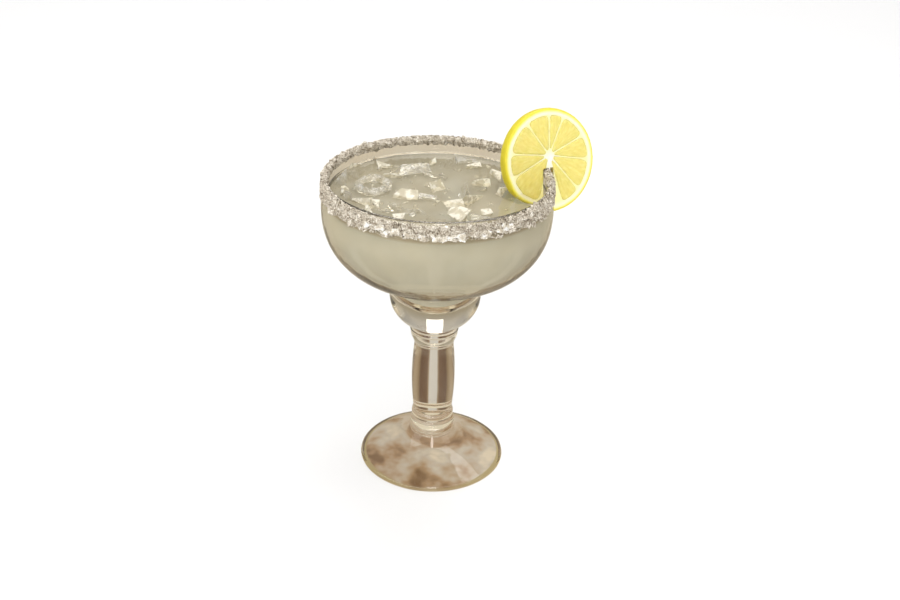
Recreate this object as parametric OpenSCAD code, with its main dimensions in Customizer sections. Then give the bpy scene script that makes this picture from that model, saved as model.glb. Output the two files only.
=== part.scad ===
// Margarita in its stepped glass, with a salted rim and a citrus wheel on the rim.
// Origin: middle of the foot's underside. +Z is up, and the wheel hangs near +X.

/* [Glass] */
// Height of the glass, to the top of its rim
glass_h = 162.5; // [150:0.5:200]
// Outer diameter of the rim
rim_d = 114; // [96:0.2:138]
// Thickness of the wall at the rim
wall = 2.8; // [2:0.02:3.6]
// How far the bowl swells past the rim, on the radius
bowl_swell = 0.8; // [0.2:0.1:1.6]
// Height of the bowl's nearly straight side, from its widest line to the rim
side_h = 14.5; // [11:0.5:20]
// Depth of the wide bowl below its widest line, outside
bowl_depth = 42.5; // [36:0.5:46]
// Thickness of the wide bowl's floor
bowl_floor = 3.2; // [2.5:0.1:5]

/* [Cup under the bowl] */
// Outer diameter of the small cup
cup_d = 47; // [40:0.2:57]
// Distance from the bowl's lowest level down to the cup's widest line
cup_drop = 7.5; // [5:0.5:10]
// Depth of the cup below its widest line, outside
cup_depth = 19.8; // [16:0.2:24]
// Diameter of the well inside the cup
well_d = 31; // [24:0.2:36]
// Depth of the well below the bowl's floor
well_depth = 19; // [14:0.5:20]

/* [Stem] */
// Diameter of the collar under the cup
collar_d = 25.2; // [22.5:0.1:28]
// Height of the collar
collar_h = 11; // [9:0.5:13]
// Diameter of the stem at its ends
stem_d = 20.4; // [16:0.1:22]
// How far the stem swells at its middle, on the radius
stem_swell = 1.2; // [0.4:0.1:2]
// Diameter of the knob that the stem stands on
knob_d = 22.8; // [22.5:0.1:26]
// Height of the knob
knob_h = 9; // [7:0.5:11]
// Height of the thin ring on top of the knob
ring_h = 4; // [3:0.5:5]

/* [Foot] */
// Diameter of the foot
foot_d = 77; // [64:0.2:93]
// Thickness of the foot's rounded edge
foot_edge = 3.4; // [2.6:0.2:4.4]
// Height of the foot, up to the knob
foot_h = 16.5; // [14:0.5:19]

/* [Drink] */
// Distance from the rim down to the level of the drink
ullage = 8.5; // [6:0.5:12]

/* [Salt] */
// Thickness of the salt crust on the glass
salt_t = 0.8; // [0.5:0.1:1.2]
// How far the crust reaches down the outside, between its bites
salt_drop = 8; // [6:0.2:10]
// How far the crust reaches down the inside
salt_lip = 3; // [2:0.2:4]

/* [Citrus wheel] */
// Diameter of the wheel
wheel_d = 52; // [42:0.2:63]
// Thickness of the wheel
wheel_t = 5.5; // [4:0.5:7]
// Thickness of the coloured rind
rind_t = 1.3; // [0.8:0.1:2]
// Thickness of the white pith under the rind
pith_t = 2.4; // [1.5:0.1:4]
// Thickness of the skin between two segments
membrane_t = 0.8; // [0.5:0.1:1.2]
// How far the fruit's core lies above the wheel's middle
core_rise = 2.5; // [0:0.5:5]
// Angle round the rim at which the wheel sits
wheel_at = 15; // [0:1:60]
// How far the wheel is turned from the line to the glass's middle
wheel_twist = 13.5; // [0:0.5:20]
// How far the top of the wheel leans back
wheel_lean = 16.5; // [0:0.5:20]
// How far the wheel's middle lies outside the middle of the glass's wall
wheel_out = 0.7; // [-3:0.1:3]
// How far the end of the slit lies below the wheel's middle
slit_end = 2.9; // [1:0.1:6]
// Clearance on each side of the salted rim in the slit
slit_gap = 0.25; // [0.2:0.05:0.5]

/* [Hidden] */
$fn = 96;
eps = 0.01;
arc_steps = 14;       // steps in each long curve of the glass
round_steps = 6;      // steps in each small rounding

// radii of the glass
rim_r = rim_d / 2;
bowl_r = rim_r + bowl_swell;
cup_r = cup_d / 2;
well_r = well_d / 2;
collar_r = collar_d / 2;
stem_r = stem_d / 2;
knob_r = knob_d / 2;
foot_r = foot_d / 2;

// heights of the glass, from the rim down and from the foot up
rim_z = glass_h - wall / 2;
bowl_z = glass_h - side_h;
cup_z = bowl_z - bowl_depth - cup_drop;
collar_top = cup_z - cup_depth * sqrt(1 - pow(collar_r / cup_r, 2));
stem_top = collar_top - collar_h;
ring_z = foot_h + knob_h;
stem_z = ring_z + ring_h;
level = glass_h - ullage;

bowl_power = 2.4;     // roundness of the wide bowl: 2 is an ellipse
well_mouth = 5;       // height of the rounded lip between bowl and well
well_lip = 6;         // width of that lip
bead = 0.3;           // how far the small rings stand out
cove_h = 6.5;         // height of the collar's curve down to the stem
step_w = 8;           // width of the curve from the cup out to the bowl

// The fruit's membranes, as angles round its core, and the segment the slit takes up
membranes = [19, 60, 84, 123, 171, 201, 250, 281, 308, 347];
slit_segment = 6;
core_r = 1.6;
petal_power = 9;      // how square the corners of a segment are
petal_steps = 18;
segments = [for (i = [0:len(membranes) - 1]) if (i != slit_segment) i];

salt_bites = 36;      // round bites that make the crust's lower edge uneven
salt_top = 1.5 * salt_t;

// ---- curves -----------------------------------------------------------------

// Points of an arc of a superellipse, from angle a to angle b, downwards from its middle
function bulge_arc(rx, rz, z, power, a, b, steps) = [
    for (i = [0:steps])
        let (t = a + (b - a) * i / steps)
        [rx * pow(cos(t), 2 / power), z - rz * pow(sin(t), 2 / power)]
];

// Height of the same superellipse at radius r
function bulge_z(rx, rz, z, power, r) = z - rz * pow(1 - pow(r / rx, power), 1 / power);

// Angle at which its arc reaches radius r
function bulge_angle(rx, power, r) = acos(pow(r / rx, power / 2));

// Points of a cubic curve between p[0] and p[3]
function curve(p, steps) = [
    for (i = [0:steps])
        let (t = i / steps, s = 1 - t)
        s * s * s * p[0] + 3 * s * s * t * p[1] + 3 * s * t * t * p[2] + t * t * t * p[3]
];

// Points up a small ring that swells by out between z and z + h
function ring(r, z, h, out) = [
    for (i = [0:round_steps]) [r + out * sin(180 * i / round_steps), z + h * i / round_steps]
];

function rounding(r, z, radius, a, b) = [
    for (i = [0:round_steps])
        let (t = a + (b - a) * i / round_steps)
        [r + radius * cos(t), z + radius * sin(t)]
];

// ---- outline of the glass -----------------------------------------------------

function foot_outline() = concat(
    [[0, 0]],
    rounding(foot_r - foot_edge / 2, foot_edge / 2, foot_edge / 2, -90, 90),
    curve([
        [foot_r - foot_edge / 2 - eps, foot_edge],
        [foot_r * 0.7, foot_edge + 4.1],
        [knob_r + 4, foot_h - 7],
        [knob_r + bead, foot_h]
    ], arc_steps)
);

function stem_outline() = concat(
    ring(knob_r, foot_h + 0.2, 1.2, bead),
    ring(knob_r - bead, foot_h + 1.6, knob_h - 1.8, 2 * bead),
    ring(knob_r - 2 * bead, ring_z, ring_h - 0.4, bead),
    [
        for (i = [0:arc_steps])
            let (t = i / arc_steps)
            [stem_r + stem_swell * sin(180 * t), stem_z + (stem_top - stem_z) * t]
    ],
    curve([
        [stem_r + bead, stem_top + 0.2],
        [stem_r + 1.5 * bead, stem_top + cove_h / 3],
        [collar_r - bead, stem_top + cove_h / 2],
        [collar_r - bead, stem_top + cove_h]
    ], round_steps),
    ring(collar_r - bead, stem_top + cove_h + 0.2, (collar_h - cove_h) / 2 - 0.3, bead),
    ring(collar_r - bead, stem_top + (collar_h + cove_h) / 2 + 0.1, (collar_h - cove_h) / 2 - 0.2, bead)
);

step_r = cup_r + step_w;
step_z = bulge_z(bowl_r, bowl_depth, bowl_z, bowl_power, step_r);

function bowl_outline() = concat(
    bulge_arc(cup_r, cup_depth, cup_z, 2, bulge_angle(cup_r, 2, collar_r), 0, arc_steps),
    curve([
        [cup_r, cup_z + 2],
        [cup_r, cup_z + cup_drop],
        [cup_r + step_w * 0.4, step_z - 2.2],
        [step_r, step_z]
    ], round_steps),
    bulge_arc(bowl_r, bowl_depth, bowl_z, bowl_power,
        bulge_angle(bowl_r, bowl_power, step_r + 1), 0, 2 * arc_steps),
    rounding(rim_r - wall / 2, rim_z, wall / 2, 0, 180)
);

// The inside, from the bottom of the well up to the widest line of the bowl
lip_r = well_r + well_lip;
inside_r = bowl_r - wall;
inside_depth = bowl_depth - bowl_floor;
lip_z = bulge_z(inside_r, inside_depth, bowl_z, bowl_power, lip_r);
well_z = lip_z - well_mouth;

function inside_outline() = concat(
    bulge_arc(well_r, well_depth - well_mouth, well_z, 2, 90, 0, arc_steps),
    curve([
        [well_r, well_z + 0.5],
        [well_r, lip_z - well_mouth / 3],
        [well_r + well_lip / 3, lip_z - 0.6],
        [lip_r, lip_z]
    ], round_steps),
    bulge_arc(inside_r, inside_depth, bowl_z, bowl_power,
        bulge_angle(inside_r, bowl_power, lip_r + 1), 0, 2 * arc_steps)
);

function reversed(list) = [for (i = [len(list) - 1:-1:0]) list[i]];

function glass_outline() =
    concat(foot_outline(), stem_outline(), bowl_outline(), reversed(inside_outline()));

// Radius of the straight walls above the widest line, inside and outside
function side_at(r, z) = r - bowl_swell * (z - bowl_z) / (rim_z - bowl_z);

// ---- pieces -------------------------------------------------------------------

module glass() {
    color([0.86, 0.83, 0.77, 0.45]) rotate_extrude() polygon(glass_outline());
}

// The drink fills the bowl and the well up to its level, and goes round the wheel.
module drink() {
    color([0.78, 0.75, 0.63, 0.8]) difference() {
        rotate_extrude() polygon(concat(
            inside_outline(),
            [[side_at(inside_r, level), level], [0, level]]
        ));
        in_wheel_place() wheel_disc(0);
    }
}

// One stretch of crust, seen in section: down the outside, over the rim, down the inside.
function crust_outline(reach, lip, thick) = concat(
    [[side_at(bowl_r, glass_h - reach), glass_h - reach]],
    rounding(rim_r - wall / 2, rim_z, wall / 2, 0, 180),
    [
        [side_at(inside_r, glass_h - lip), glass_h - lip],
        [side_at(inside_r, glass_h - lip) - thick, glass_h - lip + thick],
        [rim_r - wall - thick, rim_z]
    ],
    [
        for (i = [1:round_steps - 1])
            let (t = 180 - 180 * i / round_steps)
            [
                rim_r - wall / 2 + (wall / 2 + thick) * cos(t),
                rim_z + (wall / 2 + 1.5 * thick) * sin(t)
            ]
    ],
    [
        [rim_r + thick, rim_z],
        [side_at(bowl_r, glass_h - reach) + thick, glass_h - reach + thick]
    ]
);

// A steady, uneven value between 0 and 1 for each bite
function uneven(i, seed) = 0.5 + (sin(i * 137.5 + seed) + sin(i * 61 + 2 * seed)) / 4;

// A round bite out of the crust's lower edge
module crust_bite(i) {
    bite_r = 3.4 - 1.2 * uneven(i, 40);
    bite_z = glass_h - salt_drop - bite_r + 3.2 * uneven(i, 70);
    translate([inside_r, 0, bite_z]) rotate([0, 90, 0]) cylinder(r = bite_r, h = 10);
}

module salt_rim() {
    color([0.91, 0.87, 0.8]) difference() {
        rotate_extrude() polygon(crust_outline(salt_drop, salt_lip, salt_t));
        for (i = [0:salt_bites - 1])
            rotate([0, 0, (i + 0.6 * uneven(i, 150)) * 360 / salt_bites]) crust_bite(i);
    }
}

wheel_r = wheel_d / 2;
pulp_r = wheel_r - rind_t - pith_t;
core = [0, core_rise];

// The wheel's middle stands over the wall of the glass, and its face looks along -Y.
module in_wheel_place() {
    hang_r = rim_r - wall / 2 + wheel_out;
    translate([
        hang_r * cos(wheel_at),
        hang_r * sin(wheel_at),
        glass_h + salt_top + slit_gap + slit_end
    ]) rotate([90 - wheel_lean, 0, wheel_at + wheel_twist]) children();
}

module wheel_disc(grow) {
    crown = 0.4;
    half = wheel_t / 2 + grow;
    rotate_extrude() polygon([
        [0, -half],
        [wheel_r - crown, -half],
        [wheel_r - crown / 4, -half / 2],
        [wheel_r, 0],
        [wheel_r - crown / 4, half / 2],
        [wheel_r - crown, half],
        [0, half]
    ]);
}

// Distance from point p to the inside of the pith, in direction a
function reach(p, a) =
    let (along = p[0] * cos(a) + p[1] * sin(a))
    sqrt(along * along - p * p + pulp_r * pulp_r) - along;

// Outline of a segment: a petal between two membranes, with rounded corners
function petal(i) =
    let (
        from = membranes[i],
        to = i + 1 < len(membranes) ? membranes[i + 1] : membranes[0] + 360,
        mid = (from + to) / 2,
        half = (to - from) / 2,
        tip = core + membrane_t / 2 / sin(half) * [cos(mid), sin(mid)]
    )
    [
        for (k = [0:petal_steps])
            let (
                t = 180 * k / petal_steps,
                a = mid + half * sign(cos(t)) * pow(abs(cos(t)), 2 / petal_power),
                out = core_r + (reach(tip, a) - core_r) * pow(sin(t), 2 / petal_power)
            )
            tip + out * [cos(a), sin(a)]
    ];

module segment(i, t) {
    translate([0, 0, -t / 2]) linear_extrude(t) polygon(petal(i));
}

// The slit is the path of the salted rim through the wheel, with a clearance on each side.
module slit() {
    in_r = rim_r - wall - salt_t - slit_gap;
    out_r = bowl_r + salt_t + slit_gap;
    depth = wheel_d;
    translate([0, 0, glass_h + salt_top + slit_gap - depth]) difference() {
        cylinder(r = out_r, h = depth);
        translate([0, 0, -1]) cylinder(r = in_r, h = depth + 2);
    }
}

module wheel_peel() {
    color([0.97, 0.93, 0.45]) difference() {
        in_wheel_place() difference() {
            wheel_disc(0);
            for (i = segments) segment(i, wheel_t + 2);
        }
        slit();
    }
}

module wheel_pulp(k) {
    color([0.95, 0.91, 0.52]) difference() {
        in_wheel_place() segment(segments[k - 1], wheel_t);
        slit();
    }
}

glass();
drink();
salt_rim();
wheel_peel();
for (k = [1:len(segments)])
    wheel_pulp(k);
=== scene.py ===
"""A margarita in its stepped glass, with a salted rim, crushed ice and a citrus wheel on the rim."""
import math
import random

import bpy
import bmesh
from mathutils import Matrix, Vector, noise


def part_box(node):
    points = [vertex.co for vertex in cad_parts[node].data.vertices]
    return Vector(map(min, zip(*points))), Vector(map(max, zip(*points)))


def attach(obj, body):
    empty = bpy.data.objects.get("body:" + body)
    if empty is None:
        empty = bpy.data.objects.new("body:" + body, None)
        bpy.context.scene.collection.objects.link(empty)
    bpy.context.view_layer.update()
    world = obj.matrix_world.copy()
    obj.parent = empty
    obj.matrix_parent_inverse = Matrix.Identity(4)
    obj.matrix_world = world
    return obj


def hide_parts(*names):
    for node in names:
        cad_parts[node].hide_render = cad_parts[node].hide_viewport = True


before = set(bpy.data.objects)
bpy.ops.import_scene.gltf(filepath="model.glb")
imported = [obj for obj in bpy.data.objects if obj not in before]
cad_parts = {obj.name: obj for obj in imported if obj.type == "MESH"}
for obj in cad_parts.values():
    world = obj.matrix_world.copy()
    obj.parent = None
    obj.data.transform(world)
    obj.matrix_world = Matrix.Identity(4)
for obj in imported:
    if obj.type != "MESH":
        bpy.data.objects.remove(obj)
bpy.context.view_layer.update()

# ---- Studio ---------------------------------------------------------------------
# A pale floor under soft lamps. The glass mirrors and bends a brown table and a warm
# room, which stand where only reflections and refractions meet them.

MM = 0.001


def make_material(name):
    """A new material with an empty node tree and its output."""
    material = bpy.data.materials.new(name)
    material.use_nodes = True
    tree = material.node_tree
    tree.nodes.clear()
    return material, tree, tree.nodes.new("ShaderNodeOutputMaterial")


def add_node(tree, kind, settings=None, **values):
    """A node of that kind. Values go to inputs by name, or by number as i0, i1 and so on."""
    node = tree.nodes.new("ShaderNode" + kind)
    for key, value in (settings or {}).items():
        setattr(node, key, value)
    for key, value in values.items():
        numbered = key[0] == "i" and key[1:].isdigit()
        socket = node.inputs[int(key[1:]) if numbered else key.replace("_", " ")]
        if isinstance(value, bpy.types.NodeSocket):
            tree.links.new(value, socket)
        else:
            socket.default_value = value
    return node


def add_ramp(tree, fac, stops):
    """A colour ramp over (place, tone) stops. A tone may be one grey value."""
    node = add_node(tree, "ValToRGB", Fac=fac)
    ramp = node.color_ramp
    while len(ramp.elements) < len(stops):
        ramp.elements.new(1.0)
    for element, (place, tone) in zip(ramp.elements, stops):
        element.position = place
        element.color = (tone, tone, tone, 1) if isinstance(tone, float) else (*tone, 1)
    return node.outputs["Color"]


def colour(code):
    """A hexadecimal sRGB colour as linear red, green and blue."""
    channels = [int(code[i : i + 2], 16) / 255 for i in (0, 2, 4)]
    return tuple(c / 12.92 if c <= 0.04045 else ((c + 0.055) / 1.055) ** 2.4 for c in channels)


def fade(tree, value, start, end):
    """0 where the value is at the start and 1 where it is at the end, held flat outside them."""
    return add_node(tree, "MapRange", Value=value, i1=start, i2=end).outputs[0]


def length_of(tree, vector):
    """The length of a vector, for patterns that change with the distance from a middle."""
    return add_node(tree, "VectorMath", {"operation": "LENGTH"}, i0=vector).outputs["Value"]


def mix_colours(tree, share, first, second):
    """The first colour where the share is 0, blended to the second where it is 1."""
    blend = add_node(tree, "Mix", {"data_type": "RGBA"}, Factor=share, i6=first, i7=second)
    return blend.outputs[2]


def make_group(name, values, build):
    """A shared node group with float inputs (name, value) and the outputs that build returns."""
    group = bpy.data.node_groups.new(name, "ShaderNodeTree")
    group.interface.new_socket("Vector", in_out="INPUT", socket_type="NodeSocketVector")
    for label, value in values:
        socket = group.interface.new_socket(label, in_out="INPUT", socket_type="NodeSocketFloat")
        socket.default_value = value
    entry = group.nodes.new("NodeGroupInput")
    results = build(group, entry)
    leave = group.nodes.new("NodeGroupOutput")
    for label, source in results.items():
        kind = "NodeSocketColor" if source.type == "RGBA" else "NodeSocketFloat"
        group.interface.new_socket(label, in_out="OUTPUT", socket_type=kind)
        group.links.new(source, leave.inputs[label])
    return group


def add_group(tree, group, vector, **values):
    """Places a shared group in a material, with its own values by name."""
    node = tree.nodes.new("ShaderNodeGroup")
    node.node_tree = group
    tree.links.new(vector, node.inputs["Vector"])
    for key, value in values.items():
        node.inputs[key].default_value = value
    return node


def build_mottle(group, entry):
    """Broad patches and fine grain, from two noises."""
    broad = add_node(group, "TexNoise", Vector=entry.outputs["Vector"], Scale=entry.outputs["Patch"],
                     Detail=3.0, Roughness=0.55)
    fine = add_node(group, "TexNoise", Vector=entry.outputs["Vector"], Scale=entry.outputs["Grain"],
                    Detail=2.0)
    return {"Patches": broad.outputs["Fac"], "Grains": fine.outputs["Fac"]}


mottle = make_group("mottle", [("Patch", 20.0), ("Grain", 400.0)], build_mottle)


def link_piece(name, bm, materials, slot=None, smooth=True):
    """Makes the finished bmesh an object at the origin, which rides on the one body when a slot is given."""
    mesh = bpy.data.meshes.new(name)
    bm.to_mesh(mesh)
    bm.free()
    piece = bpy.data.objects.new(name, mesh)
    bpy.context.scene.collection.objects.link(piece)
    for material in materials:
        mesh.materials.append(material)
    for face in mesh.polygons:
        face.use_smooth = smooth
    if slot:
        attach(piece, "root")
    return piece


camera_back = 590 * MM
camera_up = 400.2 * MM
camera_pitch = math.radians(27.4194)
camera_pan = math.radians(0.75048)
camera_roll = math.radians(1.76388)

ahead = Vector((
    math.sin(camera_pan) * math.cos(camera_pitch),
    math.cos(camera_pan) * math.cos(camera_pitch),
    -math.sin(camera_pitch),
))
level_right = Vector((math.cos(camera_pan), -math.sin(camera_pan), 0))
level_up = level_right.cross(ahead)
right = math.cos(camera_roll) * level_right + math.sin(camera_roll) * level_up
upward = math.cos(camera_roll) * level_up - math.sin(camera_roll) * level_right
lens = bpy.data.cameras.new("camera")
lens.sensor_width = 36
lens.lens = 51.48
lens.clip_start = 0.01
camera = bpy.data.objects.new("camera", lens)
camera.matrix_world = Matrix((
    (right.x, upward.x, -ahead.x, 0),
    (right.y, upward.y, -ahead.y, -camera_back),
    (right.z, upward.z, -ahead.z, camera_up),
    (0, 0, 0, 1),
))
bpy.context.scene.collection.objects.link(camera)
bpy.context.scene.camera = camera
bpy.context.scene.view_settings.view_transform = "Standard"


def make_disc(name, radius, height, material):
    """A flat round stage piece at that height."""
    bm = bmesh.new()
    bmesh.ops.create_circle(bm, cap_ends=True, segments=96, radius=radius)
    bmesh.ops.translate(bm, verts=bm.verts, vec=(0, 0, height))
    disc = link_piece(name, bm, [material], smooth=False)
    return disc


floor_paint, tree, out = make_material("floor_paint")
place = add_node(tree, "TexCoord").outputs["Object"]
spots = add_group(tree, mottle, place, Patch=2.0, Grain=60.0)
shade = add_ramp(tree, spots.outputs["Patches"], [
    (0.3, (0.79, 0.795, 0.815)), (0.7, (0.81, 0.815, 0.835)),
])
paint = add_node(tree, "BsdfPrincipled", Base_Color=shade, Roughness=0.8, Specular_IOR_Level=0.1)
tree.links.new(paint.outputs[0], out.inputs[0])
floor_r = 2.4
floor = make_disc("floor", floor_r, -0.25 * MM, floor_paint)
floor.visible_transmission = False
floor.visible_glossy = False
floor.visible_shadow = False

# The table has a dark middle, a pale ring round the foot, and planks that fade into a plain
# top. Only rays that the glass bends meet this pattern. Each blend has its start and end in m.
table_r = 1.6
middle_end = (0.0382, 0.0392)
ring_end = (0.058, 0.064)
planks_end = (0.2, 0.28)
planks_round = 4.0

table_wood, tree, out = make_material("table_wood")
place = add_node(tree, "TexCoord").outputs["Object"]
spots = add_group(tree, mottle, place, Patch=40.0, Grain=90.0)
wood = add_ramp(tree, spots.outputs["Patches"], [(0.4, colour("4a3a28")), (0.6, colour("6e5a40"))])
sides = add_node(tree, "SeparateXYZ", Vector=place)
way = add_node(tree, "Math", {"operation": "ARCTAN2"}, i0=sides.outputs["Y"], i1=sides.outputs["X"])
sector = add_node(tree, "Math", {"operation": "MULTIPLY"}, i0=way.outputs[0], i1=planks_round)
beam = add_node(tree, "Math", {"operation": "COSINE"}, i0=sector.outputs[0])
planks = add_ramp(tree, fade(tree, beam.outputs[0], -1.0, 1.0), [
    (0.0, colour("a8957a")), (0.2, colour("8d7655")), (0.4, colour("513009")), (0.86, colour("5c3b10")),
    (0.92, colour("9b8467")), (0.95, colour("dcdbda")),
])
far = length_of(tree, place)
faded = mix_colours(tree, fade(tree, far, *planks_end), planks, (*colour("dad2c4"), 1))
ringed = mix_colours(tree, fade(tree, far, *ring_end), (*colour("f2ecdc"), 1), faded)
table_top = mix_colours(tree, fade(tree, far, *middle_end), wood, ringed)
bent = add_node(tree, "LightPath").outputs["Is Transmission Ray"]
met = mix_colours(tree, bent, (*colour("d6cdbb"), 1), table_top)
paint = add_node(tree, "BsdfPrincipled", Base_Color=met, Roughness=0.35)
tree.links.new(paint.outputs[0], out.inputs[0])
table = make_disc("table", table_r, -0.5 * MM, table_wood)

# a mottled pad right under the foot, with a plain edge
pad_r = 0.0362
pad_edge = (0.0347, 0.0353)

pad_wood, tree, out = make_material("pad_wood")
place = add_node(tree, "TexCoord").outputs["Object"]
spots = add_group(tree, mottle, place, Patch=46.0, Grain=120.0)
wood = add_ramp(tree, spots.outputs["Patches"], [
    (0.36, colour("70522f")), (0.44, colour("957856")), (0.51, colour("a79680")),
    (0.58, colour("aca192")), (0.68, colour("c2b59f")),
])
at_edge = fade(tree, length_of(tree, place), *pad_edge)
edged = mix_colours(tree, at_edge, wood, (*colour("9c8c60"), 1))
paint = add_node(tree, "BsdfPrincipled", Base_Color=edged, Roughness=0.5)
tree.links.new(paint.outputs[0], out.inputs[0])
pad = make_disc("pad", pad_r, 0.3 * MM, pad_wood)
for disc in (table, pad):
    disc.visible_camera = False
    disc.visible_diffuse = False
    disc.visible_shadow = False

room = bpy.data.worlds.new("room")
bpy.context.scene.world = room
room.use_nodes = True
tree = room.node_tree
tree.nodes.clear()
sky = add_node(tree, "TexCoord").outputs["Generated"]
height = add_node(tree, "SeparateXYZ", Vector=sky).outputs["Z"]
walls = add_ramp(tree, height, [
    (0.0, colour("c6b99d")), (0.25, colour("e2dacd")), (0.6, colour("f2efe9")), (1.0, colour("ffffff")),
])
seen = add_node(tree, "LightPath").outputs["Is Camera Ray"]
inside = add_node(tree, "Background", Color=walls, Strength=0.62)
backdrop = add_node(tree, "Background", Color=(1, 1, 1, 1), Strength=1.0)
mixed = add_node(tree, "MixShader", i0=seen, i1=inside.outputs[0], i2=backdrop.outputs[0])
tree.links.new(mixed.outputs[0], tree.nodes.new("ShaderNodeOutputWorld").inputs[0])

lamp_aim = Vector((0, 0, 0.1))


def add_lamp(name, place, size, watts, tint):
    """A soft rectangle of light that faces the glass, unseen by the camera."""
    lamp = bpy.data.lights.new(name, "AREA")
    lamp.shape = "RECTANGLE"
    lamp.size, lamp.size_y = size
    lamp.energy = watts
    lamp.color = tint
    lit = bpy.data.objects.new(name, lamp)
    lit.location = place
    lit.rotation_euler = (lamp_aim - Vector(place)).to_track_quat("-Z", "Y").to_euler()
    lit.visible_camera = False
    bpy.context.scene.collection.objects.link(lit)
    return lit


add_lamp("front_window", (0.05, -1.3, 1.5), (0.3, 1.4), 11, (1.0, 0.99, 0.97))
add_lamp("back_window", (-0.05, 1.6, 1.85), (0.7, 0.9), 9, (1.0, 1.0, 0.99))
add_lamp("back_glow", (0.1, 1.6, 2.3), (1.6, 1.2), 6, (1.0, 1.0, 0.99))
# this one is low, so it would mirror in the drink: only the small cup's glass bends it to the front
cup_window = add_lamp("cup_window", (-0.01, 1.7, 1.15), (0.62, 1.8), 3.9, (1.0, 1.0, 0.99))
cup_window.visible_glossy = False
cup_window.visible_diffuse = False
add_lamp("front_fill", (-0.9, -1.9, 0.8), (1.6, 1.0), 15, (1.0, 1.0, 0.98))
add_lamp("left_softbox", (-1.5, -0.2, 1.3), (1.2, 1.2), 8, (1.0, 0.99, 0.97))
add_lamp("right_softbox", (1.6, -0.5, 0.9), (1.0, 1.2), 4, (1.0, 1.0, 0.99))
add_lamp("top_softbox", (0.5, 0.2, 2.2), (1.6, 1.6), 17, (1.0, 1.0, 0.99))

# ---- Glass ------------------------------------------------------------------------
# One piece of thick pressed soda-lime glass: foot, knob, barrel stem, collar, small cup
# and wide bowl, made in one mould. Its skin keeps the faint waves of the mould.

glass_turns = 160



def copy_nodes(names):
    """The meshes of CAD nodes as one bmesh, with their loose triangles joined."""
    bm = bmesh.new()
    for name in names:
        bm.from_mesh(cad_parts[name].data)
    bmesh.ops.remove_doubles(bm, verts=bm.verts, dist=1e-6)
    return bm


def half_section(node, side):
    """The outline of a round node: its cut through the axis, on one side of it."""
    bm = copy_nodes([node])
    for across in ((0, 1, 0), (side, 0, 0)):
        bmesh.ops.bisect_plane(
            bm, geom=bm.verts[:] + bm.edges[:] + bm.faces[:], dist=1e-7, plane_co=(0, 0, 0),
            plane_no=across, clear_inner=True, clear_outer=across[1] == 1,
        )
    bmesh.ops.remove_doubles(bm, verts=bm.verts, dist=0.03 * MM)
    return bm


def turn(bm, steps):
    """Spins the outline round the Z axis and closes it."""
    bmesh.ops.spin(
        bm, geom=bm.verts[:] + bm.edges[:], cent=(0, 0, 0), axis=(0, 0, 1), angle=math.tau,
        steps=steps, use_merge=True,
    )
    bmesh.ops.remove_doubles(bm, verts=bm.verts, dist=0.01 * MM)
    bmesh.ops.recalc_face_normals(bm, faces=bm.faces)


def let_light_in(tree, body, tint):
    """Mixes the shader with a clear one for lamp rays and soft bounced light."""
    through = add_node(tree, "BsdfTransparent", Color=tint)
    ray = add_node(tree, "LightPath").outputs
    either = add_node(tree, "Math", {"operation": "MAXIMUM"}, i0=ray["Is Shadow Ray"],
                      i1=ray["Is Diffuse Ray"])
    return add_node(tree, "MixShader", i0=either.outputs[0], i1=body.outputs[0], i2=through.outputs[0])


pressed_glass, tree, out = make_material("pressed_glass")
place = add_node(tree, "TexCoord").outputs["Object"]
waves = add_group(tree, mottle, place, Patch=45.0, Grain=260.0)
tint = add_ramp(tree, waves.outputs["Patches"], [(0.3, colour("f8f3e9")), (0.7, colour("fcfaf4"))])
polish = add_ramp(tree, waves.outputs["Grains"], [(0.3, 0.01), (0.8, 0.04)])
ripple = add_node(tree, "Bump", Strength=0.35, Distance=0.0006, Height=waves.outputs["Patches"])
body = add_node(tree, "BsdfPrincipled", Base_Color=tint, Roughness=polish, IOR=1.5,
                Transmission_Weight=1.0, Normal=ripple.outputs[0])
mixed = let_light_in(tree, body, (0.98, 0.97, 0.95, 1))
tree.links.new(mixed.outputs[0], out.inputs[0])

bm = half_section("glass", 1)
turn(bm, glass_turns)
glass = link_piece("glass_body", bm, [pressed_glass], "glass")
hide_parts("glass")

# ---- Drink ------------------------------------------------------------------------
# Lime juice, orange liqueur and tequila shaken with ice: a thin, clear top layer over a
# cloudy grey-beige body. The liquid wets the wall and climbs it a little.

drink_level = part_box("drink")[1].z
drink_edge_r = 54.75 * MM
wall_reach = 0.15 * MM
meniscus_h = 0.7 * MM
meniscus_w = 1.6 * MM
calm_w = 6 * MM
level_slack = 0.05 * MM


def turn_drink(cuts, turns):
    """The drink turned from its outline, with that many cuts along its flat top."""
    bm = half_section("drink", -1)
    top = [e for e in bm.edges if min(v.co.z for v in e.verts) > drink_level - 0.01 * MM]
    bmesh.ops.subdivide_edges(bm, edges=top, cuts=cuts)
    turn(bm, turns)
    return bm


liquid_look, tree, out = make_material("drink_liquid")
place = add_node(tree, "TexCoord").outputs["Object"]
cloud = add_group(tree, mottle, place, Patch=60.0, Grain=700.0)
tint = add_ramp(tree, cloud.outputs["Patches"], [(0.3, colour("f3eddc")), (0.7, colour("f8f4e8"))])
wet = add_ramp(tree, cloud.outputs["Grains"], [(0.3, 0.02), (0.8, 0.08)])
ripple = add_node(tree, "Bump", Strength=0.3, Distance=0.0008, Height=cloud.outputs["Patches"])
body = add_node(tree, "BsdfPrincipled", Base_Color=tint, Roughness=wet, IOR=1.06, Transmission_Weight=1.0,
                Coat_Weight=1.0, Coat_Roughness=0.03, Coat_IOR=1.34, Normal=ripple.outputs[0])
tree.links.new(ripple.outputs[0], body.inputs["Coat Normal"])
mixed = let_light_in(tree, body, (0.99, 0.98, 0.96, 1))
tree.links.new(mixed.outputs[0], out.inputs[0])

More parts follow.
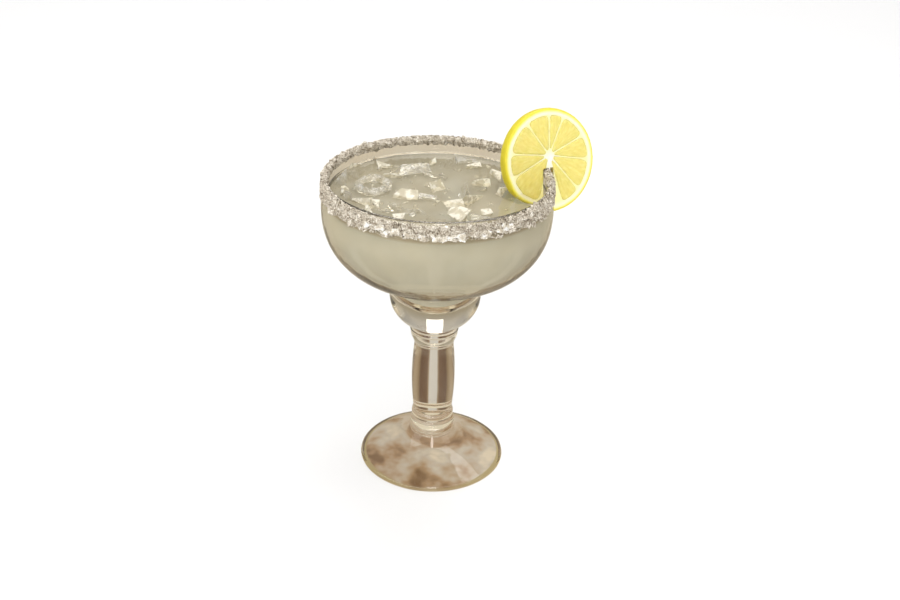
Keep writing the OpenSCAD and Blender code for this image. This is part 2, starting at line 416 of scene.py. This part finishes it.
bm = turn_drink(48, glass_turns)
for v in bm.verts:
    if v.co.z < drink_level - level_slack:
        v.co += v.normal * wall_reach
    else:
        out_r = v.co.xy.length
        swell = 0.35 * noise.noise(v.co * 55) + 0.2 * noise.noise(v.co * 140)
        calm = min(1.0, max(0.0, (drink_edge_r - out_r) / calm_w))
        v.co.z += swell * MM * calm + meniscus_h * math.exp(-(drink_edge_r - out_r) / meniscus_w)
        if out_r > drink_edge_r - 0.3 * MM:
            v.co.xy *= (drink_edge_r + wall_reach) / out_r
liquid = link_piece("drink_liquid", bm, [liquid_look], "drink")
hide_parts("drink")

# the cloudy body: one drink, painted brownish and darker right under the surface (painted shade), and paler
# below it and down in the small cup (painted light)
painted_shade_fade = (0.1503, 0.1517)
cup_painted_light_fade = (0.10, 0.08)

cloudy_look, tree, out = make_material("drink_cloud")
place = add_node(tree, "TexCoord").outputs["Object"]
cloud = add_group(tree, mottle, place, Patch=38.0, Grain=300.0)
high = add_node(tree, "SeparateXYZ", Vector=place).outputs["Z"]
# painted light: the body below the surface gets a paler colour than its top
painted_light_body = add_ramp(tree, cloud.outputs["Patches"], [
    (0.25, colour("b0b2aa")), (0.5, colour("b8b9b1")), (0.75, colour("c0c1b8")),
])
# painted shade: the top of the body gets a darker, browner colour
painted_shade_top = add_ramp(tree, cloud.outputs["Patches"], [
    (0.25, colour("8f8a7b")), (0.5, colour("9d9786")), (0.75, colour("aaa391")),
])
# painted light: paler still down in the small cup
lit = mix_colours(tree, fade(tree, high, *cup_painted_light_fade), painted_light_body, (*colour("d3d2c2"), 1))
body_colour = mix_colours(tree, fade(tree, high, *painted_shade_fade), lit, painted_shade_top)
dull = add_ramp(tree, cloud.outputs["Grains"], [(0.3, 0.45), (0.8, 0.65)])
billows = add_node(tree, "Bump", Strength=0.2, Distance=0.001, Height=cloud.outputs["Patches"])
body = add_node(tree, "BsdfPrincipled", Base_Color=body_colour, Roughness=dull, Specular_IOR_Level=0.1,
                Normal=billows.outputs[0])
tree.links.new(body.outputs[0], out.inputs[0])

core_gap = 1.1 * MM
core_top = 151.8 * MM
core_band = 3 * MM
core_swell = 0.8 * MM
core_wall_rise = 1.9 * MM
core_rise_r = 42 * MM
core_rise_w = 11 * MM
wheel_dip = Vector((47 * MM, 9 * MM))
wheel_dip_r = 17 * MM
wheel_dip_depth = 11.5 * MM
wheel_dip_slope = 2.2

bm = turn_drink(30, 96)
for v in bm.verts:
    flat = v.co.z > drink_level - level_slack
    v.co -= v.normal * core_gap
    near_wheel = max(0.0, 1 - (v.co.xy - wheel_dip).length / wheel_dip_r)
    at_wall = min(1.0, max(0.0, (v.co.xy.length - core_rise_r) / core_rise_w))
    ceiling = core_top + core_swell * noise.noise(v.co * 60) * (1 - at_wall) + core_wall_rise * at_wall
    ceiling -= wheel_dip_depth * min(1.0, wheel_dip_slope * near_wheel)
    if flat:
        v.co.z = ceiling
    elif v.co.z > ceiling - core_band:
        over = (v.co.z - (ceiling - core_band)) / (drink_level - ceiling + core_band)
        v.co.z = ceiling - core_band + core_band * over
link_piece("drink_cloud", bm, [cloudy_look], "drink")

# ---- Crushed ice ------------------------------------------------------------------
# Flat splinters and lumps from a crusher, half melted: they float just under the
# surface, white where they broke and clear where the liquid has wetted them.

ice_rng = random.Random(7)
ice_looks = []
for name, clear, dull, pale, bright in (
    ("white_ice", 0.35, 0.5, "cdc5b0", "f6f2e6"), ("clear_ice", 0.88, 0.2, "e9e4d6", "ffffff"),
):
    look, tree, out = make_material(name)
    place = add_node(tree, "TexCoord").outputs["Object"]
    frost = add_group(tree, mottle, place, Patch=260.0, Grain=1500.0)
    white = add_ramp(tree, frost.outputs["Patches"], [(0.4, colour(pale)), (0.6, colour(bright))])
    rough = add_ramp(tree, frost.outputs["Patches"], [(0.4, 0.05), (0.6, dull)])
    chips = add_node(tree, "Bump", Strength=0.6, Distance=0.0005, Height=frost.outputs["Patches"])
    body = add_node(tree, "BsdfPrincipled", Base_Color=white, Roughness=rough, IOR=1.31,
                    Transmission_Weight=clear, Normal=chips.outputs[0])
    mixed = let_light_in(tree, body, (0.85, 0.85, 0.83, 1))
    tree.links.new(mixed.outputs[0], out.inputs[0])
    ice_looks.append(look)


def add_shard(bm, rng, spot, size, turned, tilt, kind, points=9):
    """A splinter: the hull of a few points in a box of that size."""
    new = []
    for _ in range(points):
        corner = Vector([rng.choice((-0.5, 0.5)) * rng.uniform(0.55, 1.0) for _ in range(3)])
        new.append(bm.verts.new(Vector([a * b for a, b in zip(corner, size)]) * MM))
    hull = bmesh.ops.convex_hull(bm, input=new, use_existing_faces=False)
    loose = [v for v in hull["geom_interior"] if isinstance(v, bmesh.types.BMVert)]
    bmesh.ops.delete(bm, geom=loose, context="VERTS")
    kept = [v for v in new if v.is_valid]
    for face in {f for v in kept for f in v.link_faces}:
        face.material_index = kind
    spin = Matrix.Rotation(math.radians(turned), 4, "Z") @ Matrix.Rotation(math.radians(tilt), 4, "X")
    bmesh.ops.transform(bm, matrix=Matrix.Translation(Vector(spot) * MM) @ spin, verts=kept)
    return kept


# place in mm; length, width and thickness; turn; lean; kind, 0 for white and 1 for clear
big_ice = [
    ((-22.1, 24), (7.9, 7.6, 4), -15, 18, 0), ((-12.4, 27.4), (14.9, 8, 4.5), 15, 14, 1),
    ((-11.3, 33.8), (7.9, 5, 3), 35, -30, 0), ((-27.7, 35.4), (7, 3.9, 3), 10, 25, 0),
    ((-24.4, 50.1), (15.7, 5.1, 3), 8, 10, 1), ((-14.4, 52.3), (6.9, 3, 3), 85, 35, 0),
    ((-44.7, 34.2), (8.8, 5, 3), 42, 20, 0), ((-35.8, 40.5), (4.6, 3.9, 3), 48, 30, 1),
    ((-47.3, 12.8), (11.7, 6.5, 4.5), 66, 30, 1), ((-47.6, -0.3), (9.8, 6.3, 3.3), 53, 25, 0),
    ((-41, 24), (10.2, 6.5, 3.4), 58, 20, 1), ((-37.7, -15.4), (7.9, 3.6, 3), 10, 22, 0),
    ((-30.3, -18), (5.1, 4.1, 3), -19, 30, 0), ((-44.8, -7.8), (6.5, 4.2, 3), -48, 20, 1),
    ((-21.3, -19.2), (9.1, 4.6, 3.5), 79, 40, 1), ((-14.6, -4.5), (11.5, 5.2, 3), -22, 24, 0),
    ((-6.2, -6.5), (10.4, 4.2, 3), -15, 18, 1), ((-0.2, 6.1), (9.3, 6.9, 3.6), 48, 35, 0),
    ((-0.3, 22.8), (12.2, 3.3, 3), -10, 14, 1), ((17.1, -6.8), (12.1, 5.9, 4.6), 70, 40, 0),
    ((13.8, 4.4), (12.3, 2.5, 4.7), 87, 40, 1), ((21.7, 10.9), (8.9, 5.3, 3), 27, 25, 0),
    ((21.6, 6.3), (5.1, 3, 3), -35, 10, 1), ((7.8, -13), (8.8, 4.1, 3), 0, 24, 0),
    ((10.4, -26.8), (9.4, 7.6, 3.9), -48, 32, 0), ((5.6, -29.4), (6.7, 4.5, 3), 35, 20, 1),
    ((22.1, -27.2), (11.5, 4.5, 3), 15, 25, 1), ((23.4, -24.2), (5.6, 3, 3), 22, 30, 0),
    ((16.9, 46.5), (12.8, 6.7, 3.5), 19, 25, 1), ((18, 37.2), (7, 3, 3), 0, 20, 0),
    ((29.1, 23.4), (7.1, 5.4, 3), -27, 30, 0), ((32, 4.4), (7.9, 3.2, 3), 73, 30, 0),
    ((-18.2, -32.7), (4.9, 3, 3), 0, 20, 0), ((-3.8, -33.6), (4.5, 3.5, 3), 0, 40, 0),
    ((-37.3, -25.7), (6.8, 5.1, 3), -35, 25, 1), ((-30.7, -28.2), (8, 5.6, 3), -27, 25, 0),
    ((-13.8, -21.1), (8.8, 5.6, 3), 19, 20, 1), ((-5.9, -23.6), (10.4, 6.1, 3.2), -27, 25, 1),
    ((-11.3, -35.2), (10, 3.5, 3), -15, 20, 1), ((-2.9, 41.5), (3, 3, 3), 19, 30, 0),
    ((-15.1, 3.8), (7.1, 3, 3), 6, 15, 1),
]
bm = bmesh.new()
float_z = 153.4
lifts = (0.4, -0.3)  # white shards ride higher than clear ones
big_growth = 1.35
for spot, size, heading, lean, kind in big_ice:
    size = [big_growth * side for side in size]
    add_shard(bm, ice_rng, (spot[0], spot[1], float_z + lifts[kind]), size, heading, lean, kind, 8)

# small chips all over, but fewer on the right and round the wheel
small_count = 150
small_spread_r = 51
sparse_x = 22
wheel_spot = Vector((47, 9, 0))
sparse_r = 16
for _ in range(small_count):
    far = small_spread_r * math.sqrt(ice_rng.random())
    way = ice_rng.uniform(0, math.tau)
    spot = Vector((far * math.cos(way), far * math.sin(way), 0))
    sparse = spot.x > sparse_x or (spot - wheel_spot).length < sparse_r
    size = [ice_rng.uniform(1.5, 5.0), ice_rng.uniform(1.0, 2.6), ice_rng.uniform(0.8, 2.4)]
    sink = ice_rng.uniform(0.0, 2.2)
    heading, lean = ice_rng.uniform(0, 180), ice_rng.uniform(-40, 40)
    if not (sparse and ice_rng.random() < 0.7):
        kind = int(ice_rng.random() < 0.6)
        add_shard(bm, ice_rng, (spot.x, spot.y, float_z - sink), size, heading, lean, kind)

# a clear lump with a melted hollow
hollow_r = 7.0 * MM
hollow_thick = 2.0 * MM
hollow_place = (-32.4 * MM, 6.5 * MM, 154.2 * MM)
hollow_seed = 1795151437  # noise_vector starts from the clock unless it is seeded
noise.seed_set(hollow_seed)
shard_verts = set(bm.verts)
ring = bmesh.ops.create_circle(bm, segments=14, radius=hollow_thick)["verts"]
stand_ring = Matrix.Translation((hollow_r, 0, 0)) @ Matrix.Rotation(math.radians(90), 4, "X")
bmesh.ops.transform(bm, matrix=stand_ring, verts=ring)
edges = list({e for v in ring for e in v.link_edges})
bmesh.ops.spin(bm, geom=ring + edges, cent=(0, 0, 0), axis=(0, 0, 1), angle=math.tau, steps=52,
               use_merge=True)
hollow = [v for v in bm.verts if v not in shard_verts]
for face in {f for v in hollow for f in v.link_faces}:
    face.material_index = 1
for v in hollow:
    v.co += 0.9 * MM * noise.noise_vector(v.co * 240) + 0.5 * MM * noise.noise_vector(v.co * 800)
    v.co.x *= 1.05
    v.co.y *= 1.25
bmesh.ops.translate(bm, verts=hollow, vec=hollow_place)

# no ice pokes into the wall
ice_limit_r = 53.7 * MM
for v in bm.verts:
    out_r = v.co.xy.length
    if out_r > ice_limit_r:
        v.co.xy *= ice_limit_r / out_r
bmesh.ops.recalc_face_normals(bm, faces=bm.faces)
link_piece("crushed_ice", bm, ice_looks, "ice", smooth=False)

# ---- Salt rim ---------------------------------------------------------------------
# Coarse salt pressed on a rim wetted with juice: a caked crust with an uneven lower edge,
# and loose crystals stuck all over it, the largest at the front.

salt_rng = random.Random(21)
# the rim in mm: the middle of its lip, its two faces where the bowl is widest, and their lean
rim_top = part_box("glass")[1].z / MM
rim_mid_r = 55.6
bowl_outer_r = 57.8
bowl_inner_r = 55.0
widest_drop = 14.5
lean_in = 0.8
lean_h = 13.1

salt_look, tree, out = make_material("salt_crystals")
place = add_node(tree, "TexCoord").outputs["Object"]
speckle = add_group(tree, mottle, place, Patch=300.0, Grain=1700.0)
both = add_node(tree, "Mix", {"data_type": "FLOAT"}, i0=0.35, i2=speckle.outputs["Grains"],
                i3=speckle.outputs["Patches"])
grain_colour = add_ramp(tree, both.outputs[0], [
    (0.385, colour("4b3f33")), (0.425, colour("958a77")), (0.50, colour("bfb5a6")), (0.57, colour("dad3c6")),
    (0.63, colour("f8f5ee")),
])
rough = add_ramp(tree, speckle.outputs["Patches"], [(0.3, 0.25), (0.7, 0.6)])
pits = add_node(tree, "Bump", Strength=0.5, Distance=0.0002, Height=speckle.outputs["Grains"])
body = add_node(tree, "BsdfPrincipled", Base_Color=grain_colour, Roughness=rough, Normal=pits.outputs[0])
tree.links.new(body.outputs[0], out.inputs[0])


def side_at(r, z):
    """The wall's radius at a height, for a face whose radius is r where the bowl is widest."""
    return r - lean_in * (z - (rim_top - widest_drop)) / lean_h


# the crust's outline in mm: up the outside, over the lip, and a little way down the inside
crust_points = 15
crust_drop = 6.5
crust_thick = 0.35
crust_bite = 0.6
lip_drop = 1.4
lip_r = 1.75
lip_h = 1.9
inside_h = 0.3
side_share = 0.36
lip_share = 0.44
inside_share = 0.2

crust = []
for k in range(crust_points):
    t = k / (crust_points - 1)
    if t < side_share:
        z = rim_top - crust_drop + (crust_drop - lip_drop) * t / side_share
        r = side_at(bowl_outer_r, z) + crust_thick
    elif t < 1 - inside_share:
        a = math.pi * (t - side_share) / lip_share
        z = rim_top - lip_drop + lip_h * math.sin(a)
        r = rim_mid_r + lip_r * math.cos(a)
    else:
        z = rim_top - lip_drop - inside_h * (t - (1 - inside_share)) / inside_share
        r = side_at(bowl_inner_r, z) - crust_thick
    crust.append((r, z))
crust += [
    (side_at(bowl_inner_r, rim_top - 1.8) + crust_bite, rim_top - 1.8),
    (rim_mid_r, rim_top - 1.6),
    (side_at(bowl_outer_r, rim_top - crust_drop) - crust_bite, rim_top - crust_drop),
]
bm = bmesh.new()
loop = [bm.verts.new((r * MM, 0, z * MM)) for r, z in crust]
for a, b in zip(loop, loop[1:] + loop[:1]):
    bm.edges.new((a, b))
turn(bm, 720)


def front_share(way):
    """0 at the back and the sides, 1 at the front, where the rim's inner edge was wiped bare."""
    return min(1.0, max(0.0, (-0.02 - math.sin(way)) / 0.2))


def round_noise(way, height, scale):
    """Noise that runs round the rim and closes on itself."""
    return noise.noise(Vector((math.cos(way), math.sin(way), height)) * scale)


most_wiped = 0.92
lip_line = rim_top - 1.8
wiped_to = rim_top - 1.9
ragged_from = rim_top - 2.5
for v in bm.verts:
    r = v.co.xy.length / MM
    outside = r > rim_mid_r
    way = math.atan2(v.co.y, v.co.x)
    lump = noise.noise(v.co * 500) * 0.3 + noise.noise(v.co * 1400) * 0.25
    v.co += v.normal * lump * MM
    bare = most_wiped * front_share(way)
    high = v.co.z / MM
    if not outside or high > lip_line:
        bare_r = side_at(bowl_outer_r, lip_line) + (0.1 if outside else -0.5)
        v.co.z += bare * (wiped_to - high) * MM
        v.co.xy *= (r + bare * (bare_r - r)) / r
    elif high < ragged_from:
        ragged = round_noise(way, 0.3, 9) * 1.6 + round_noise(way, 0.9, 34) * 1.2
        low = (ragged_from - high) / 4.0
        v.co.z += ((2.6 - 3.0 * front_share(way)) + ragged) * low * MM
bmesh.ops.recalc_face_normals(bm, faces=bm.faces)
crust_piece = link_piece("salt_crust", bm, [salt_look], "salt")
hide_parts("salt_rim")

# loose crystals, made in small batches because a full bmesh takes new cubes slowly: the first
# share sits outside, the next on the lip, and the rest inside it
batch_count = 70
batch_size = 100
outside_crystals = 0.45
lip_crystals = 0.8
bm = bmesh.new()
for _ in range(batch_count):
    few = bmesh.new()
    for _ in range(batch_size):
        way = salt_rng.uniform(0, math.tau)
        front = 0.5 - 0.5 * math.sin(way)
        t = salt_rng.random()
        if t < outside_crystals:
            reach = 3.4 + 3.4 * front_share(way)
            reach += 1.6 * round_noise(way, 0.3, 9)
            down = reach * salt_rng.random() ** 0.8
            z = rim_top - 0.8 - 0.8 * front_share(way) - down
            r = side_at(bowl_outer_r, z) + 0.45
            big = front > 0.6 and salt_rng.random() < 0.12
        elif t < lip_crystals:
            wiped = most_wiped * front_share(way) * (1 - 0.6 * math.cos(way) ** 2)
            a = salt_rng.uniform(0, math.pi * (1 - wiped))
            z = rim_top - lip_drop + 2.0 * math.sin(a) - 0.6 * front_share(way)
            r = rim_mid_r + 1.85 * math.cos(a)
            big = salt_rng.random() < 0.02
        else:
            z = rim_top - 1.2 - 2.2 * salt_rng.random()
            r = side_at(bowl_inner_r, z) - 0.3
            if front_share(way) > 0.5 * salt_rng.random():
                continue
            big = False
        size = salt_rng.uniform(1.1, 2.0) if big else salt_rng.uniform(0.3, 0.8)
        axis = Vector([salt_rng.gauss(0, 1) for _ in range(3)])
        twist = Matrix.Rotation(salt_rng.uniform(0, math.tau), 4, axis)
        spot = Matrix.Translation(Vector((r * math.cos(way), r * math.sin(way), z)) * MM)
        bmesh.ops.create_cube(few, size=size * MM, matrix=spot @ twist)
    batch_mesh = bpy.data.meshes.new("batch")
    few.to_mesh(batch_mesh)
    few.free()
    bm.from_mesh(batch_mesh)
    bpy.data.meshes.remove(batch_mesh)
link_piece("salt_crystals", bm, [salt_look], "salt", smooth=False)

wet_salt, tree, out = make_material("wet_salt")
place = add_node(tree, "TexCoord").outputs["Object"]
speckle = add_group(tree, mottle, place, Patch=420.0, Grain=1500.0)
pale = add_ramp(tree, speckle.outputs["Patches"], [
    (0.4, colour("c9bfae")), (0.5, colour("ece6da")), (0.6, colour("ffffff")),
])
rough = add_ramp(tree, speckle.outputs["Grains"], [(0.3, 0.15), (0.7, 0.5)])
pits = add_node(tree, "Bump", Strength=0.5, Distance=0.0003, Height=speckle.outputs["Patches"])
body = add_node(tree, "BsdfPrincipled", Base_Color=pale, Roughness=rough, IOR=1.45,
                Transmission_Weight=0.25, Normal=pits.outputs[0])
mixed = let_light_in(tree, body, (0.8, 0.8, 0.78, 1))
tree.links.new(mixed.outputs[0], out.inputs[0])

# where each wet patch sits on the rim in degrees, its width in mm and its drop from the top
wet_patches = [
    (-82.5, 18, 6.6), (-108, 10, 6.0), (-66, 7, 6.2), (-57, 8, 4.2), (-119, 10, 5.6), (-95, 5, 6.4),
]
lump_pitch = 1.1
lump_out = 0.9
bm = bmesh.new()
for middle, width, drop in wet_patches:
    for _ in range(int(width / lump_pitch)):
        way = math.radians(middle) + salt_rng.uniform(-0.5, 0.5) * width / 57
        z = rim_top - drop + salt_rng.uniform(-1.3, 1.3)
        r = side_at(bowl_outer_r, z) + lump_out
        size = (salt_rng.uniform(1.2, 1.8), salt_rng.uniform(2.2, 4.8), salt_rng.uniform(1.6, 3.0))
        spot = (r * math.cos(way), r * math.sin(way), z)
        add_shard(bm, salt_rng, spot, size, math.degrees(way), salt_rng.uniform(-20, 20), 0)
bmesh.ops.recalc_face_normals(bm, faces=bm.faces)
link_piece("salt_lumps", bm, [wet_salt], "salt", smooth=False)

# ---- Citrus wheel -----------------------------------------------------------------
# A slice across a lemon, slit from its core to its edge and pushed onto the rim. The rind
# is thin and pitted, with white pith under it; thin skins part the wet, pale segments.

wheel_middle = (54.384, 14.572, 166.85)
wheel_turn = math.radians(28.5)
wheel_lean = math.radians(73.5)
wheel_place = Matrix.Translation(Vector(wheel_middle) * MM)
wheel_place @= Matrix.Rotation(wheel_turn, 4, "Z") @ Matrix.Rotation(wheel_lean, 4, "X")
wheel_back = wheel_place.inverted()
voxel = 0.3
smooth_rounds = 3


def local_place(tree):
    """Object coordinates turned into the wheel's own: its face in XY, its middle at 0."""
    place = add_node(tree, "TexCoord").outputs["Object"]
    back = add_node(tree, "Mapping", {"vector_type": "TEXTURE"}, Vector=place)
    back.inputs["Location"].default_value = wheel_place.to_translation()
    back.inputs["Rotation"].default_value = wheel_place.to_euler()
    return back.outputs[0]


def soften(bm):
    """Remeshes closed shapes into one even skin with rounded edges."""
    mesh = bpy.data.meshes.new("unsmoothed")
    bm.to_mesh(mesh)
    bm.free()
    unsmoothed = bpy.data.objects.new("unsmoothed", mesh)
    bpy.context.scene.collection.objects.link(unsmoothed)
    remesh = unsmoothed.modifiers.new("remesh", "REMESH")
    remesh.mode = "VOXEL"
    remesh.voxel_size = voxel * MM
    finished = unsmoothed.evaluated_get(bpy.context.evaluated_depsgraph_get())
    result = bmesh.new()
    result.from_mesh(finished.to_mesh())
    bpy.data.objects.remove(unsmoothed)
    for _ in range(smooth_rounds):
        bmesh.ops.smooth_vert(result, verts=result.verts, factor=0.5, use_axis_x=True, use_axis_y=True,
                              use_axis_z=True)
    result.normal_update()
    return result


peel_r = 0.0263
edge_wobble = 0.0006
rind_from = 24.2

peel_look, tree, out = make_material("citrus_peel")
local = local_place(tree)
flat = add_node(tree, "VectorMath", {"operation": "MULTIPLY"}, i0=local, i1=(1, 1, 0)).outputs[0]
far = length_of(tree, flat)
pores = add_group(tree, mottle, local, Patch=220.0, Grain=1400.0)
wobble = add_node(tree, "Math", {"operation": "MULTIPLY_ADD"}, i0=pores.outputs["Patches"],
                  i1=edge_wobble, i2=far)
skin = add_ramp(tree, fade(tree, wobble.outputs[0], 0.0, peel_r), [
    (0.0, colour("fffff4")), (0.12, colour("fffde0")), (0.25, colour("fff7b4")), (0.82, colour("fff6b0")),
    (0.905, colour("fffbd8")), (0.94, colour("fcf596")), (0.965, colour("e8dc40")), (1.0, colour("d2c42a")),
])
satin = add_ramp(tree, pores.outputs["Patches"], [(0.3, 0.32), (0.7, 0.5)])
dimples = add_node(tree, "TexVoronoi", Vector=local, Scale=750.0)
dents = add_node(tree, "Bump", Strength=0.25, Distance=0.0003, Height=dimples.outputs["Distance"])
body = add_node(tree, "BsdfPrincipled", Base_Color=skin, Roughness=satin, Subsurface_Weight=0.3,
                Subsurface_Scale=0.002, Normal=dents.outputs[0])
body.inputs["Subsurface Radius"].default_value = (1.0, 0.9, 0.4)
tree.links.new(body.outputs[0], out.inputs[0])

bm = soften(copy_nodes(["wheel_peel"]))
for v in bm.verts:
    far = (wheel_back @ v.co).xy.length / MM
    depth, grain = (0.07, 900) if far > rind_from else (0.10, 500)
    v.co += v.normal * depth * MM * noise.noise(v.co * grain)
peel = link_piece("citrus_peel", bm, [peel_look], "peel")
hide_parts("wheel_peel")

# juice strands run out from the core, which sits a little above the wheel's middle
core_place = (0, 0.0025, 0)
strand_stretch = 22.0

flesh_look, tree, out = make_material("citrus_flesh")
local = local_place(tree)
from_core = add_node(tree, "VectorMath", {"operation": "SUBTRACT"}, i0=local, i1=core_place).outputs[0]
sides = add_node(tree, "SeparateXYZ", Vector=from_core)
way = add_node(tree, "Math", {"operation": "ARCTAN2"}, i0=sides.outputs["Y"], i1=sides.outputs["X"])
drawn_out = add_node(tree, "Math", {"operation": "MULTIPLY"}, i0=length_of(tree, from_core),
                     i1=strand_stretch)
stretched = add_node(tree, "CombineXYZ", X=way.outputs[0], Y=drawn_out.outputs[0],
                     Z=sides.outputs["Z"])
cells = add_node(tree, "TexVoronoi", {"feature": "SMOOTH_F1"}, Vector=stretched.outputs[0], Scale=9.0)
strands = add_node(tree, "TexNoise", Vector=stretched.outputs[0], Scale=14.0, Detail=3.0)
juice = add_ramp(tree, strands.outputs["Fac"], [
    (0.25, colour("decf6e")), (0.5, colour("e6d87a")), (0.75, colour("eee38f")),
])
wet = add_ramp(tree, cells.outputs["Distance"], [(0.1, 0.12), (0.6, 0.3)])
bulge = add_node(tree, "Bump", Strength=0.2, Distance=0.0004, Height=cells.outputs["Distance"])
bulge.invert = True
body = add_node(tree, "BsdfPrincipled", Base_Color=juice, Roughness=wet, Subsurface_Weight=0.5,
                Subsurface_Scale=0.003, Normal=bulge.outputs[0])
body.inputs["Subsurface Radius"].default_value = (1.0, 0.8, 0.3)
tree.links.new(body.outputs[0], out.inputs[0])

pulp_nodes = [f"wheel_pulp_{k}" for k in range(1, 10)]
bm = soften(copy_nodes(pulp_nodes))
flesh_swell = 0.08
flesh_bumps = 0.05
for v in bm.verts:
    v.co += v.normal * (flesh_swell + flesh_bumps * noise.noise(v.co * 250)) * MM
flesh = link_piece("citrus_flesh", bm, [flesh_look], "pulp")
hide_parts(*pulp_nodes)
